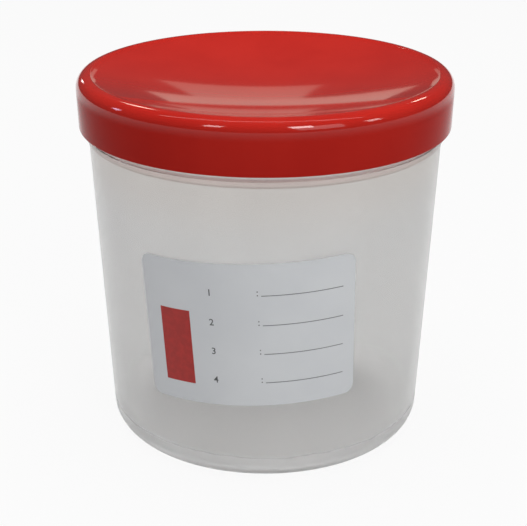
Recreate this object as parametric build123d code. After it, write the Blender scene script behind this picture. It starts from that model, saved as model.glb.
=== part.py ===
from build123d import *
import os
from math import acos, atan2, cos, degrees, pi, sin, sqrt, tan

# Wide-mouth specimen container of about one litre: a translucent polypropylene cup with an
# outside-threaded neck, a red screw cap with a dished top, a soft sealing ring inside the cap,
# and an adhesive label on the wall.
#
# Millimetres, +Z up. The origin is the centre of the foot ring, on the surface that the
# container stands on. The label faces -Y. The neck and the skirt are plain here, with the room
# between them that their threads take. Roundings and the dish are drawn as short flats, so that
# the pieces stay light.

# Cup
foot_radius = 52.1        # outside of the wall, carried down to the standing surface
shoulder_radius = 57.0    # outside of the wall at the underside of the collar
shoulder_height = 100.3   # underside of the collar
cup_wall = 1.4
cup_floor = 1.6
floor_recess = 1.5        # the floor's underside over the standing surface
foot_corner = 7.0         # outside rounding from the wall to the foot ring
foot_ring_width = 2.4     # flat ring that the cup stands on
foot_ring_rounding = 0.6
collar_height = 1.8
collar_stand = 0.5        # how far the collar stands out of the wall
neck_step = 0.3           # how far the neck is set back from the collar
neck_height = 14.7        # from the collar's top to the lip
lip_rounding = 0.5

# Sealing ring
ring_height = 1.6
ring_overhang = 0.9       # how far the ring reaches past the outside of the lip
ring_clearance = 0.1      # above the lip, and under the cap
ring_side_clearance = 0.3 # round the cap's plug

# Screw cap
skirt_clearance = 1.5     # from the neck to the skirt, which both threads share
skirt_wall = 1.3
skirt_height = 16.8
skirt_rounding = 0.4
crown_flare = 0.55        # how much wider the cap is under its crown than at its open end
crown_thickness = 2.4
crown_rounding = 4.0
channel_rounding = 0.5    # inside corner between the skirt and the crown
rim_width = 5.65          # from the outside of the crown to the edge of the dish
rim_step = 0.5            # from the top of the crown down to the edge of the dish
rim_rounding = 1.0
dish_depth = 6.7          # from the edge of the dish to its middle
panel_thickness = 1.5
plug_clearance = 0.35     # from the mouth's bore to the cap's plug
plug_wall = 1.2
plug_reach = 3.5          # how far the plug goes into the mouth
plug_rounding = 0.4

# Label
label_width = 68.0
label_height = 48.0
label_corner = 3.0
label_film = 0.15
label_adhesive = 0.1
label_middle = 52.0       # height of the label's middle
label_tilt = 2.75         # degrees, its right side higher, as it was stuck on

# Flats that stand for curves
flat_length = 2.4         # along a rounding
dish_flats = 3            # from the middle of the dish to its edge

# Levels and radii that the pieces share
collar_radius = shoulder_radius + collar_stand
collar_top = shoulder_height + collar_height
neck_radius = collar_radius - neck_step
mouth_radius = shoulder_radius - cup_wall
lip_height = collar_top + neck_height
ring_bottom = lip_height + ring_clearance
ring_top = ring_bottom + ring_height
crown_underside = ring_top + ring_clearance
cap_top = crown_underside + crown_thickness
cap_bottom = cap_top - skirt_height
skirt_bore = neck_radius + skirt_clearance
skirt_radius = skirt_bore + skirt_wall
crown_radius = skirt_radius + crown_flare
plug_radius = mouth_radius - plug_clearance
plug_bore = plug_radius - plug_wall
plug_bottom = lip_height - plug_reach
dish_radius = crown_radius - rim_width
dish_edge = cap_top - rim_step
dish_floor = dish_edge - dish_depth


def wall_radius(height):
    """Outside radius of the cup's conical wall."""
    return foot_radius + (shoulder_radius - foot_radius) * height / shoulder_height


def softened(corners):
    """Points of a closed outline of (radius, height, rounding), its roundings cut into flats."""
    points = []
    for index, (radius, height, rounding) in enumerate(corners):
        if not rounding:
            points.append((radius, height))
            continue
        corner = Vector(radius, height)
        before = (Vector(*corners[index - 1][:2]) - corner).normalized()
        after = (Vector(*corners[(index + 1) % len(corners)][:2]) - corner).normalized()
        half_angle = acos(before.dot(after)) / 2
        turn = pi - 2 * half_angle
        centre = corner + (before + after).normalized() * (rounding / sin(half_angle))
        first = corner + before * (rounding / tan(half_angle)) - centre
        side = 1 if before.cross(after).Z < 0 else -1
        flats = max(1, round(rounding * turn / flat_length))
        for step in range(flats + 1):
            angle = atan2(first.Y, first.X) + side * turn * step / flats
            points.append((centre.X + rounding * cos(angle), centre.Y + rounding * sin(angle)))
    return points


def turned(points):
    """Solid made by turning a closed outline of (radius, height) points about the Z axis."""
    return revolve(Plane.XZ * make_face(Polyline(*points, close=True)), Axis.Z)


def cup():
    """Tapered cup with a recessed floor in a foot ring, a collar and a neck."""
    ring_inside = foot_radius - foot_corner - foot_ring_width
    ring_easing = min(foot_ring_rounding, floor_recess / 2.5)
    lip_easing = min(lip_rounding, cup_wall / 2.5)
    floor_top = floor_recess + cup_floor
    outline = [
        (0, floor_recess, 0),
        (ring_inside, floor_recess, ring_easing),
        (ring_inside, 0, ring_easing),
        (foot_radius, 0, foot_corner),
        (shoulder_radius, shoulder_height, 0),
        (collar_radius, shoulder_height, 0),
        (collar_radius, collar_top, 0),
        (neck_radius, collar_top, 0),
        (neck_radius, lip_height, lip_easing),
        (mouth_radius, lip_height, lip_easing),
        (mouth_radius, shoulder_height, 0),
        (wall_radius(floor_top) - cup_wall, floor_top, foot_corner - cup_wall),
        (0, floor_top, 0),
    ]
    return turned(softened(outline))


def sealing_ring():
    """Soft ring that the cap presses on the lip."""
    inside = plug_radius + ring_side_clearance
    outside = neck_radius + ring_overhang
    outline = [
        (inside, ring_bottom),
        (outside, ring_bottom),
        (outside, ring_top),
        (inside, ring_top),
    ]
    return turned(outline)


def screw_cap():
    """Cap with a rounded crown, a dished panel of even thickness, a skirt and a plug."""
    dish_sphere = (dish_radius**2 + dish_depth**2) / (2 * dish_depth)
    sphere_middle = dish_floor + dish_sphere

    def panel(edge_radius, offset):
        """Points of the panel, from its middle to its edge."""
        radii = [edge_radius * step / dish_flats for step in range(dish_flats + 1)]
        return [
            (radius, sphere_middle - sqrt((dish_sphere + offset) ** 2 - radius**2), 0)
            for radius in radii
        ]

    plug_easing = min(plug_rounding, plug_wall / 2.5)
    outline = panel(plug_bore, panel_thickness) + [
        (plug_bore, plug_bottom, plug_easing),
        (plug_radius, plug_bottom, plug_easing),
        (plug_radius, crown_underside, 0),
        (skirt_bore, crown_underside, channel_rounding),
        (skirt_bore, cap_bottom, 0),
        (skirt_radius, cap_bottom, min(skirt_rounding, skirt_wall / 2.5)),
        (crown_radius, cap_top, min(crown_rounding, 0.75 * rim_width)),
        (dish_radius, cap_top, min(rim_rounding, 0.2 * rim_width, 0.8 * rim_step)),
    ]
    outline += reversed(panel(dish_radius, 0))
    return turned(softened(outline))


def label():
    """Film with rounded corners, bent round the conical wall and stuck on a little askew."""
    band_bottom = label_middle - label_height
    band_top = label_middle + label_height
    back = label_adhesive
    front = label_adhesive + label_film
    band = turned(
        [
            (wall_radius(band_bottom) + back, band_bottom),
            (wall_radius(band_bottom) + front, band_bottom),
            (wall_radius(band_top) + front, band_top),
            (wall_radius(band_top) + back, band_top),
        ]
    )
    middle_radius = wall_radius(label_middle)
    width_angle = degrees(label_width / middle_radius)
    start = Plane.XZ.rotated((0, 0, -90 - width_angle / 2))
    die_near = middle_radius * 0.7
    die_far = middle_radius * 1.3
    section = start * make_face(
        Polyline(
            (die_near, -label_height / 2),
            (die_far, -label_height / 2),
            (die_far, label_height / 2),
            (die_near, label_height / 2),
            close=True,
        )
    )
    die = revolve(section, Axis.Z, revolution_arc=width_angle)
    corners = die.edges().filter_by(GeomType.LINE).filter_by(Axis.Z, reverse=True)
    die = fillet(corners, label_corner)
    return band & Pos(0, 0, label_middle) * Rot(0, -label_tilt, 0) * die


nodes = {
    "cup": cup(),
    "sealing_ring": sealing_ring(),
    "screw_cap": screw_cap(),
    "label": label(),
}
os.makedirs("parts", exist_ok=True)
for name, piece in nodes.items():
    export_step(piece, f"parts/{name}.step")
    box = piece.bounding_box()
    print(name, round(piece.volume / 1000, 2), "cm3", box.min, box.max)
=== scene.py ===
from math import asin, cos, hypot, pi, radians, sin, tan

import bmesh
import bpy
from mathutils import Matrix, Vector


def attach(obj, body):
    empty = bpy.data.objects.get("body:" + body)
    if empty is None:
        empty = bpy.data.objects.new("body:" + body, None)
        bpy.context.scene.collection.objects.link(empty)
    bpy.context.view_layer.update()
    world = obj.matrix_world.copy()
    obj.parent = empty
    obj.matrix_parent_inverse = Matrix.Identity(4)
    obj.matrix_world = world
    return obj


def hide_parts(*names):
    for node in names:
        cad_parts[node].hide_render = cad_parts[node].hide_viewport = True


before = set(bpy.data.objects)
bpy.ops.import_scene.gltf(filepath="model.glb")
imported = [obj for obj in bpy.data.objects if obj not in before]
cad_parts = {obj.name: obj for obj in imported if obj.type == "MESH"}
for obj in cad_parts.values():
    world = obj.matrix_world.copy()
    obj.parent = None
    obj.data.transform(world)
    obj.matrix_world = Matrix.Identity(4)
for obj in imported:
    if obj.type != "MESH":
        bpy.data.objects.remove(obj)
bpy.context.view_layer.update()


# The cup: injection-moulded natural polypropylene, milky and see-through enough to show its own
# floor. It tapers down to a rounded foot ring. A collar runs round it under the cap, and one and
# a half turns of outside thread run round the neck above.

mm = 0.001

foot_radius = 52.1
foot_corner = 7.0
foot_ring_inside = 42.7
foot_ring_easing = 0.6
floor_recess = 1.5
floor_top = 3.1
gate_radius = 1.5
gate_taper = 0.2
gate_stub = 0.35
gate_easing = 0.15
cup_wall = 1.4
shoulder_radius = 57.0
shoulder_height = 100.3
shoulder_rounding = 2.0
collar_radius = 57.5
collar_top = 102.1
collar_under_edge = 0.2
collar_upper_edge = 0.14
crease = 0.12
neck_radius = 57.2
mouth_radius = 55.6
lip_height = 116.8
lip_rounding = 0.5

thread_pitch = 5.0
thread_turns = 1.5
thread_start = radians(-60)
neck_thread_crest = 58.3
neck_thread_height = 105.1


def wall_radius(height):
    """Outside radius of the cup's tapered wall, in millimetres."""
    return foot_radius + (shoulder_radius - foot_radius) * height / shoulder_height


def draw(bm, corners, start=None):
    """Wire through (radius, height, rounding) corners in millimetres. Returns its last vertex."""
    fine_below = 0.9 * mm
    line = [start] if start else []
    roundings = {}
    for radius, height, rounding in corners:
        line.append(bm.verts.new((radius * mm, 0, height * mm)))
        if rounding:
            roundings[line[-1]] = rounding * mm
    for one, two in zip(line, line[1:]):
        bm.edges.new((one, two))
    last = line[-1]
    for corner, rounding in roundings.items():
        one, two = (edge.other_vert(corner).co - corner.co for edge in corner.link_edges)
        bmesh.ops.bevel(
            bm,
            geom=[corner],
            offset=rounding / tan(one.angle(two) / 2),
            offset_type="OFFSET",
            affect="VERTICES",
            segments=4 if rounding < fine_below else 10,
            profile=0.5,
            material=-1,
        )
    return last


def turn(bm, steps=240):
    """Spins the drawn wire into a closed moulding about the upright axis."""
    bmesh.ops.spin(
        bm,
        geom=bm.verts[:] + bm.edges[:],
        cent=(0, 0, 0),
        axis=(0, 0, 1),
        angle=2 * pi,
        steps=steps,
        use_merge=True,
    )
    bmesh.ops.remove_doubles(bm, verts=bm.verts, dist=1e-7)
    bmesh.ops.recalc_face_normals(bm, faces=bm.faces)


def wind_thread(bm, root, crest, start_height):
    """Moulded thread of a blunt trapezoid, wound up the wall and run out at both ends."""
    foot_half = 1.0
    crest_half = 0.45
    sunk = 0.15
    steps_a_turn = 96
    run_out = 0.05
    run_out_steps = 4
    run_out_size = 0.12
    rib = bmesh.new()
    outward = 1 if crest > root else -1
    section = [
        (root - sunk * outward, -foot_half - sunk),
        (root, -foot_half),
        (crest, -crest_half),
        (crest, crest_half),
        (root, foot_half),
        (root - sunk * outward, foot_half + sunk),
    ]
    loop = [rib.verts.new((radius * mm, 0, (start_height + rise) * mm)) for radius, rise in section]
    face = rib.faces.new(loop)
    foot = Vector((root * mm, 0, start_height * mm))
    bmesh.ops.scale(rib, vec=(run_out_size,) * 3, space=Matrix.Translation(-foot), verts=loop)
    around = Matrix.Rotation(thread_start, 4, "Z")
    bmesh.ops.transform(rib, matrix=around, verts=rib.verts)
    bmesh.ops.delete(rib, geom=[face], context="FACES_ONLY")
    ends = rib.verts[:] + rib.edges[:]
    bmesh.ops.contextual_create(rib, geom=rib.edges[:])
    stretches = (
        (run_out, run_out_steps, 1 / run_out_size),
        (thread_turns, int(thread_turns * steps_a_turn), 1),
        (run_out, run_out_steps, run_out_size),
    )
    climbed = 0
    for part, steps, size in stretches:
        spun = bmesh.ops.spin(
            rib,
            geom=ends,
            cent=(0, 0, 0),
            axis=(0, 0, 1),
            dvec=(0, 0, part * thread_pitch * mm / steps),
            angle=2 * pi * part,
            steps=steps,
        )
        ends = spun["geom_last"]
        climbed += part
        angle = thread_start + 2 * pi * climbed
        height = start_height + climbed * thread_pitch
        foot = Vector((root * cos(angle), root * sin(angle), height)) * mm
        verts = [item for item in ends if isinstance(item, bmesh.types.BMVert)]
        bmesh.ops.scale(rib, vec=(size,) * 3, space=Matrix.Translation(-foot), verts=verts)
    edges = [item for item in ends if isinstance(item, bmesh.types.BMEdge)]
    bmesh.ops.contextual_create(rib, geom=edges)
    bmesh.ops.recalc_face_normals(rib, faces=rib.faces)
    wound = bpy.data.meshes.new("rib")
    rib.to_mesh(wound)
    rib.free()
    bm.from_mesh(wound)
    bpy.data.meshes.remove(wound)


def piece(name, bm, material, smooth_below=35):
    """Finished object of a mesh, shaded smooth except across its sharper corners."""
    mesh = bpy.data.meshes.new(name)
    bm.to_mesh(mesh)
    bm.free()
    mesh.shade_smooth()
    mesh.set_sharp_from_angle(angle=radians(smooth_below))
    mesh.materials.append(material)
    made = bpy.data.objects.new(name, mesh)
    bpy.context.scene.collection.objects.link(made)
    return made


class Tone:
    """A shader socket that Python's arithmetic can be written on."""

    def __init__(self, tree, socket=None):
        self.tree = tree
        self.socket = socket

    def node(self, kind, settings=None, sockets=None, output=0):
        """Adds a node: its settings first, then the values or links of its sockets."""
        made = self.tree.nodes.new("ShaderNode" + kind)
        for name, value in (settings or {}).items():
            setattr(made, name, value)
        for name, value in (sockets or {}).items():
            if isinstance(value, Tone):
                self.tree.links.new(value.socket, made.inputs[name])
            else:
                made.inputs[name].default_value = value
        return Tone(self.tree, made.outputs[output])

    def math(self, operation, *values):
        return self.node("Math", {"operation": operation}, dict(enumerate(values)))

    def __add__(self, other):
        return self.math("ADD", self, other)

    __radd__ = __add__

    def __sub__(self, other):
        return self.math("SUBTRACT", self, other)

    def __rsub__(self, other):
        return self.math("SUBTRACT", other, self)

    def __mul__(self, other):
        return self.math("MULTIPLY", self, other)

    __rmul__ = __mul__

    def rise(self, low, high):
        """0 below low, 1 above high and smooth between them."""
        settings = {"interpolation_type": "SMOOTHSTEP"}
        return self.node("MapRange", settings, {0: self, 1: low, 2: high, 3: 0.0, 4: 1.0})

    def stripe(self, start, full, fading, gone):
        """1 from full to fading, and 0 below start and above gone."""
        return self.rise(start, full) * (1 - self.rise(fading, gone))

    def blend(self, one, two):
        """Colour one where this is 0, and colour two where it is 1."""
        return self.node("Mix", {"data_type": "RGBA"}, {0: self, 6: one, 7: two}, output=2)


def finish(name):
    """New material: its shader, its object coordinates and its node tree's helper."""
    material = bpy.data.materials.new(name)
    material.use_nodes = True
    shader = material.node_tree.nodes["Principled BSDF"]
    tone = Tone(material.node_tree)
    place = tone.node("TexCoord", output=3)
    return material, shader, tone, place


def noise(tone, place, scale, detail=3.0, stretch=(1, 1, 1), roughness=0.5):
    """Smooth 3-D noise of 0 to 1, stretched along the axes."""
    mapped = tone.node("Mapping", None, {"Vector": place, "Scale": stretch})
    sockets = {"Vector": mapped, "Scale": scale, "Detail": detail, "Roughness": roughness}
    return tone.node("TexNoise", None, sockets)


def feed(tone, shader, sockets):
    """Links tones to the shader's sockets, or sets them to plain values."""
    for name, value in sockets.items():
        if isinstance(value, Tone):
            tone.tree.links.new(value.socket, shader.inputs[name])
        else:
            shader.inputs[name].default_value = value


thin_milk = (0.855, 0.854, 0.848, 1)
thick_milk = (0.89, 0.889, 0.884, 1)
painted_cap_bounce = (0.885, 0.855, 0.825, 1)
painted_collar_glow = (0.84, 0.74, 0.70, 1)
collar_under_shade = (0.55, 0.47, 0.44, 1)
collar_top_shade = (0.5, 0.30, 0.28, 1)

natural, shader, tone, place = finish("natural_polypropylene")
height = tone.node("SeparateXYZ", None, {0: place}, output=2) * 1000
cloud = noise(tone, place, 22, 3)
flow = noise(tone, place, 45, 2, (1, 1, 0.05))
scuff = noise(tone, place, 120, 4, (1, 1, 0.3), 0.6)
milk = (cloud * 0.4 + flow * 0.6).rise(0.3, 0.7)
plain = milk.blend(thin_milk, thick_milk)
# Painted red bounce light from the cap: the neck turns warmer towards the top.
neck_bounce_painted = height.rise(78, 100).blend(plain, painted_cap_bounce)
# Painted pink glow of the red cap, seen through the collar band.
collar = height.stripe(
    shoulder_height - 0.1, shoulder_height + 0.2, collar_top - 0.2, collar_top + 0.1
)
collar_glow_painted = collar.blend(neck_bounce_painted, painted_collar_glow)
# Painted shadow lines: a dark one under the collar, and a dark red one along its top edge below the
# cap.
painted_under_shadow = height.stripe(
    shoulder_height - 0.5, shoulder_height - 0.2, shoulder_height, shoulder_height + 0.2
)
painted_top_shadow = height.stripe(collar_top - 0.2, collar_top, collar_top + 0.3, collar_top + 0.7)
lined = (painted_under_shadow * 0.8).blend(collar_glow_painted, collar_under_shade)
foot = 1 - height.rise(2, 14)
feed(tone, shader, {
    "Base Color": (painted_top_shadow * 0.8).blend(lined, collar_top_shade),
    "Roughness": scuff * 0.06 + foot * 0.2 + 0.16,
    "IOR": 1.49,
    "Transmission Weight": 0.86,
    "Specular IOR Level": 0.4,
    "Normal": tone.node("Bump", None, {"Strength": 0.02, "Distance": 0.0002, "Height": cloud}),
})

bm = bmesh.new()
draw(bm, [
    (0, floor_recess - gate_stub, 0),
    (gate_radius - gate_taper, floor_recess - gate_stub, gate_easing),
    (gate_radius, floor_recess, gate_easing),
    (foot_ring_inside, floor_recess, foot_ring_easing),
    (foot_ring_inside, 0, foot_ring_easing),
    (foot_radius, 0, foot_corner),
    (shoulder_radius, shoulder_height, crease),
    (collar_radius, shoulder_height, collar_under_edge),
    (collar_radius, collar_top, collar_upper_edge),
    (neck_radius, collar_top, crease),
    (neck_radius, lip_height, lip_rounding),
    (mouth_radius, lip_height, lip_rounding),
    (mouth_radius, shoulder_height, shoulder_rounding),
    (wall_radius(floor_top) - cup_wall, floor_top, foot_corner - cup_wall),
    (0, floor_top, 0),
])
turn(bm)
wind_thread(bm, neck_radius, neck_thread_crest, neck_thread_height)
cup = piece("cup_moulding", bm, natural)
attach(cup, "cup")
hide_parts("cup")


# The sealing ring: a flat ring of soft pale elastomer that lies in the channel of the cap and
# is pressed on the lip when the cap is tight.

ring_inside = 55.55
ring_outside = 58.1
ring_bottom = 116.9
ring_top = 118.5
ring_rounding = 0.35
clean_seal = (0.70, 0.69, 0.66, 1)
dusty_seal = (0.80, 0.79, 0.77, 1)

soft_seal, shader, tone, place = finish("seal_elastomer")
dust = noise(tone, place, 420, 4)
feed(tone, shader, {
    "Base Color": dust.blend(clean_seal, dusty_seal),
    "Roughness": dust * 0.15 + 0.6,
    "Specular IOR Level": 0.35,
    "Normal": tone.node("Bump", None, {"Strength": 0.2, "Distance": 0.0001, "Height": dust}),
})

bm = bmesh.new()
ring_middle = (ring_bottom + ring_top) / 2
draw(bm, [
    (ring_inside, ring_middle, 0),
    (ring_inside, ring_bottom, ring_rounding),
    (ring_outside, ring_bottom, ring_rounding),
    (ring_outside, ring_top, ring_rounding),
    (ring_inside, ring_top, ring_rounding),
    (ring_inside, ring_middle, 0),
])
turn(bm)
seal = piece("sealing_ring_moulding", bm, soft_seal)
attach(seal, "seal")
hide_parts("sealing_ring")


# The screw cap: glossy red polypropylene, moulded in one piece with a rounded crown, a stepped
# rim and a dished middle. Underneath are a plug, a channel for the sealing ring, and one and a
# half turns of inside thread on the skirt.

cap_top = 121.0
crown_radius = 60.55
crown_rounding = 4.0
rim_inside = 55.8
rim_rounding = 1.2
skirt_radius = 60.0
skirt_bottom = 104.2
skirt_bore = 58.7
skirt_inner_edge = 0.2
skirt_outer_edge = 0.4
channel_top = 118.6
channel_rounding = 0.5
plug_radius = 55.25
plug_bore = 54.05
plug_bottom = 113.3
plug_rounding = 0.4
plug_root_rounding = 0.2
skirt_thread_crest = 57.75
skirt_thread_height = 105.4

dish_radius = 54.9
dish_floor = 113.8
dish_edge = 120.5
panel = 1.5
dish_sphere = (dish_radius**2 + (dish_edge - dish_floor) ** 2) / (2 * (dish_edge - dish_floor))
sphere_middle = dish_floor + dish_sphere


def draw_dish(bm, edge_radius, sphere_radius):
    """Arc of a shallow dish from the axis out to its edge. Returns its end vertices."""
    first = bm.verts.new((0, 0, (sphere_middle - sphere_radius) * mm))
    spun = bmesh.ops.spin(
        bm,
        geom=[first],
        cent=(0, 0, sphere_middle * mm),
        axis=(0, -1, 0),
        angle=asin(edge_radius / sphere_radius),
        steps=36,
    )
    return first, spun["geom_last"][0]


deep_red = (0.46, 0.016, 0.0105, 1)
bright_red = (0.51, 0.020, 0.013, 1)

red, shader, tone, place = finish("red_polypropylene")
cloud = noise(tone, place, 30, 3)
streak = noise(tone, place, 70, 2, (1, 1, 0.05))
wear = noise(tone, place, 90, 4, roughness=0.6)
pigment = cloud * 0.6 + streak * 0.4
crown = tone.node("SeparateXYZ", None, {0: place}, output=2).rise(114.5 * mm, 119 * mm)
flat = tone.node("VectorMath", {"operation": "MULTIPLY"}, {0: place, 1: (1, 1, 0)})
radius = tone.node("VectorMath", {"operation": "LENGTH"}, {0: flat}, output=1)
dish = 1 - radius.rise(54.8 * mm, 56.5 * mm)
polish = tone.math("MAXIMUM", crown, dish)
feed(tone, shader, {
    "Base Color": pigment.rise(0.3, 0.7).blend(deep_red, bright_red),
    "Roughness": wear * 0.08 + 0.07,
    "IOR": 1.49,
    "Specular IOR Level": 0.02,
    "Specular Tint": (1.0, 0.3, 0.27, 1),
    "Coat Weight": polish * 0.86 + 0.04,
    "Coat Roughness": 0.06,
    "Normal": tone.node("Bump", None, {"Strength": 0.05, "Distance": 0.0006, "Height": cloud}),
})

bm = bmesh.new()
_, under_end = draw_dish(bm, plug_bore, dish_sphere + panel)
_, dish_end = draw_dish(bm, dish_radius, dish_sphere)
last = draw(bm, [
    (plug_bore, plug_bottom, plug_rounding),
    (plug_radius, plug_bottom, plug_rounding),
    (plug_radius, channel_top, plug_root_rounding),
    (skirt_bore, channel_top, channel_rounding),
    (skirt_bore, skirt_bottom, skirt_inner_edge),
    (skirt_radius, skirt_bottom, skirt_outer_edge),
    (crown_radius, cap_top, crown_rounding),
    (rim_inside, cap_top, rim_rounding),
    (dish_radius, dish_edge, 0),
], under_end)
bmesh.ops.pointmerge(bm, verts=[last, dish_end], merge_co=dish_end.co)
turn(bm)
wind_thread(bm, skirt_bore, skirt_thread_crest, skirt_thread_height)
cap = piece("screw_cap_moulding", bm, red)
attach(cap, "cap")
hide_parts("screw_cap")


# The label: a matt film with rounded corners, stuck on the wall a little askew. Its print is
# generic: four numbered rows with a colon and a ruled line each, and a plain red bar.

label_width = 68
label_height = 48
label_corner = 3
adhesive = 0.1
film_thickness = 0.15
label_middle = 52.0
label_tilt = radians(2.75)
middle_radius = wall_radius(label_middle)
white_film = (0.74, 0.76, 0.785, 1)
whiter_film = (0.78, 0.80, 0.82, 1)


def wrap(bm):
    """Lays a flat drawing (across, up, off the wall) in millimetres round the cup's wall."""
    askew = Matrix.Rotation(-label_tilt, 3, "Y")
    for vert in bm.verts:
        across, up, off = vert.co
        angle = across / middle_radius
        outward = askew @ Vector((sin(angle), -cos(angle), 0))
        start = askew @ Vector((0, 0, up)) + Vector((0, 0, label_middle))
        reach = middle_radius
        for _ in range(4):
            point = start + outward * reach
            reach += wall_radius(point.z) + off - hypot(point.x, point.y)
        vert.co = point * mm


def slice_up(bm, strip=1.5, row=6):
    """Cuts a flat drawing into strips and rows that can follow the wall."""
    for count in range(int(label_width / strip) + 1):
        across = -label_width / 2 + strip * count
        everything = bm.verts[:] + bm.edges[:] + bm.faces[:]
        bmesh.ops.bisect_plane(bm, geom=everything, plane_co=(across, 0, 0), plane_no=(1, 0, 0))
    for count in range(int(label_height / row) + 1):
        up = -label_height / 2 + row * count
        everything = bm.verts[:] + bm.edges[:] + bm.faces[:]
        bmesh.ops.bisect_plane(bm, geom=everything, plane_co=(0, up, 0), plane_no=(0, 1, 0))


def plate(bm, left, bottom, width, height, off):
    """Flat rectangle. Returns its vertices."""
    made = bmesh.ops.create_grid(bm, x_segments=1, y_segments=1, size=0.5)["verts"]
    bmesh.ops.scale(bm, vec=(width, height, 1), verts=made)
    shift = (left + width / 2, bottom + height / 2, off)
    bmesh.ops.translate(bm, vec=shift, verts=made)
    return made


film, shader, tone, place = finish("label_film")
fibre = noise(tone, place, 260, 4)
cloud = noise(tone, place, 40, 3)
feed(tone, shader, {
    "Base Color": cloud.rise(0.3, 0.7).blend(white_film, whiter_film),
    "Roughness": fibre * 0.1 + 0.42,
    "Specular IOR Level": 0.35,
    "Normal": tone.node("Bump", None, {"Strength": 0.08, "Distance": 0.0001, "Height": fibre}),
})

bm = bmesh.new()
corners = plate(bm, -label_width / 2, -label_height / 2, label_width, label_height, adhesive)
bmesh.ops.bevel(
    bm,
    geom=corners,
    offset=label_corner,
    offset_type="OFFSET",
    affect="VERTICES",
    segments=8,
    profile=0.5,
    material=-1,
)
slab = bmesh.ops.extrude_face_region(bm, geom=bm.faces[:])
raised = [item for item in slab["geom"] if isinstance(item, bmesh.types.BMVert)]
bmesh.ops.translate(bm, vec=(0, 0, film_thickness), verts=raised)
slice_up(bm)
wrap(bm)
bmesh.ops.recalc_face_normals(bm, faces=bm.faces)
label = piece("label_film", bm, film)
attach(label, "cup")
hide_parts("label")

ink_height = 0.262
rows = (14.4, 4.5, -5.3, -15.2)
red_ink = (0.42, 0.035, 0.03, 1)
grey_ink = (0.16, 0.165, 0.17, 1)
dark_ink = (0.10, 0.105, 0.11, 1)
number_left = -11.3
number_drop = 1.0
number_size = 3.1
number_weight = 0.03


def ink(name, color, roughness):
    """Printing ink with a slightly uneven lay-down."""
    material, shader, tone, place = finish(name)
    patch = noise(tone, place, 500, 3).rise(0.3, 0.8)
    lighter = tuple(channel * 1.25 for channel in color[:3]) + (1,)
    feed(tone, shader, {
        "Base Color": patch.blend(color, lighter),
        "Roughness": patch * 0.1 + roughness,
        "Specular IOR Level": 0.3,
    })
    return material


def printed(name, bm, material):
    """Finished print on the label."""
    slice_up(bm)
    wrap(bm)
    made = piece(name, bm, material)
    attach(made, "cup")
    return made


bm = bmesh.new()
plate(bm, left=-28, bottom=-17.5, width=10.4, height=25, off=ink_height)
printed("label_bar", bm, ink("red_ink", red_ink, 0.45))

bm = bmesh.new()
for row in rows:
    plate(bm, left=5.1, bottom=row - 0.9, width=24.9, height=0.25, off=ink_height)
    for dot in (-0.75, 0.45):
        plate(bm, left=3.8, bottom=row + dot, width=0.35, height=0.4, off=ink_height)
printed("label_rules", bm, ink("grey_ink", grey_ink, 0.5))

bm = bmesh.new()
for count, row in enumerate(rows):
    letter = bpy.data.curves.new("row_number", "FONT")
    letter.body = str(count + 1)
    letter.size = number_size
    letter.offset = number_weight
    letter.resolution_u = 3
    holder = bpy.data.objects.new("row_number", letter)
    flat = bpy.data.meshes.new_from_object(holder)
    flat.transform(Matrix.Translation((number_left, row - number_drop, ink_height)))
    bm.from_mesh(flat)
    bpy.data.objects.remove(holder)
    bpy.data.curves.remove(letter)
    bpy.data.meshes.remove(flat)
printed("label_numbers", bm, ink("dark_ink", dark_ink, 0.5))


# The studio: a pale floor that shows white behind the container and keeps its soft shadow, soft
# lights overhead and at the front right, a ceiling tube, and small lamps at the ceiling and
# behind the container that shine in the rim and the dish of the cap.

floor_grey = (0.5, 0.5, 0.5, 1)
floor_white_share = 0.93
world_strength = 0.07

floor_paint, shader, tone, _ = finish("floor_paint")
outputs = tone.node("LightPath").socket.node.outputs
ray_kinds = ("Is Camera Ray", "Is Glossy Ray", "Is Transmission Ray")
camera_ray, glossy_ray, clear_ray = (Tone(tone.tree, outputs[kind]) for kind in ray_kinds)
seen = tone.math("MAXIMUM", tone.math("MAXIMUM", camera_ray, glossy_ray), clear_ray)
feed(tone, shader, {"Base Color": floor_grey, "Roughness": 0.9, "Specular IOR Level": 0.1})
white = tone.node("Emission", None, {"Color": (1, 1, 1, 1), "Strength": 1.0})
painted = Tone(tone.tree, shader.outputs[0])
mixed = tone.node("MixShader", None, {0: seen * floor_white_share, 1: painted, 2: white})
surface = floor_paint.node_tree.nodes["Material Output"].inputs["Surface"]
tone.tree.links.new(mixed.socket, surface)

bm = bmesh.new()
bmesh.ops.create_grid(bm, x_segments=4, y_segments=4, size=4)
floor = piece("floor", bm, floor_paint)

world = bpy.data.worlds.new("studio")
world.use_nodes = True
sky = world.node_tree.nodes["Background"].inputs
sky["Color"].default_value = (1, 1, 1, 1)
sky["Strength"].default_value = world_strength
bpy.context.scene.world = world


def softbox(name, at, aim, size, power, color=(1, 1, 1), mirrored=True):
    """Rectangular light that the camera doesn't see, and gloss only mirrors if it is mirrored."""
    lamp = bpy.data.lights.new(name, "AREA")
    lamp.shape = "RECTANGLE"
    lamp.size, lamp.size_y = size
    lamp.energy = power
    lamp.color = color
    holder = bpy.data.objects.new(name, lamp)
    holder.location = at
    holder.rotation_euler = (Vector(aim) - Vector(at)).to_track_quat("-Z", "Y").to_euler()
    holder.visible_camera = False
    holder.visible_glossy = mirrored
    bpy.context.scene.collection.objects.link(holder)


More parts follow.
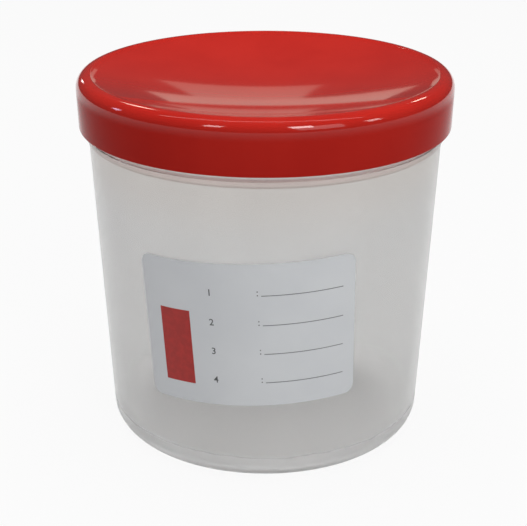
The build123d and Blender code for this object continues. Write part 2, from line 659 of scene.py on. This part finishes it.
warm_white = (1.0, 0.9, 0.76)
cap_middle = (0, 0, 0.12)
lamp_distance = 1.4

softbox("overhead", (0.0, 0.0, 1.3), (0, 0, 0.05), (1.0, 1.0), 13.5, mirrored=False)
softbox("ceiling_tube", (0, 0.1, 1.4), cap_middle, (1.8, 0.08), 1.8)
softbox("front_right", (0.8, -1.0, 0.8), (0, 0, 0.06), (0.7, 0.7), 3)
softbox("behind_low", (-0.0745, 0.8, 0.125), (-0.0745, 0, 0.125), (0.125, 0.25), 0.043, warm_white)
softbox("behind_high", (-0.09, 0.8, 0.305), (-0.09, 0, 0.305), (0.05, 0.11), 0.006, warm_white)
for name, direction, size, power, color in (
    ("ceiling_left", (-0.35, -0.67, 0.66), (0.22, 0.28), 1.6, (1, 1, 1)),
    ("ceiling_right", (0.36, -0.64, 0.68), (0.26, 0.32), 3.2, (1, 1, 1)),
    ("ceiling_far_right", (0.82, -0.22, 0.53), (0.2, 0.25), 1.2, (1, 1, 1)),
    ("ceiling_far_left", (-0.88, 0.09, 0.46), (0.12, 0.2), 0.7, (0.75, 0.68, 1.0)),
    ("back_low_left", (-0.5, 0.8, 0.28), (0.06, 0.1), 0.12, (1, 1, 1)),
    ("back_high_left", (-0.34, 0.68, 0.65), (0.12, 0.12), 0.5, warm_white),
    ("back_high_right", (0.34, 0.7, 0.6), (0.12, 0.12), 0.4, warm_white),
):
    softbox(name, Vector(direction) * lamp_distance, cap_middle, size, power, color)

swing = Matrix.Rotation(radians(5.94), 4, "Z")
camera_at = swing @ Vector((-0.00056, -0.41497, 0.22335))
camera_aim = swing @ Vector((-0.00056, 0, 0.05384))
lens = bpy.data.cameras.new("camera")
lens.lens = 90.245
lens.sensor_width = 36
camera = bpy.data.objects.new("camera", lens)
camera.location = camera_at
camera.rotation_euler = (camera_aim - camera_at).to_track_quat("-Z", "Y").to_euler()
bpy.context.scene.collection.objects.link(camera)
bpy.context.scene.camera = camera
bpy.context.scene.view_settings.view_transform = "Standard"
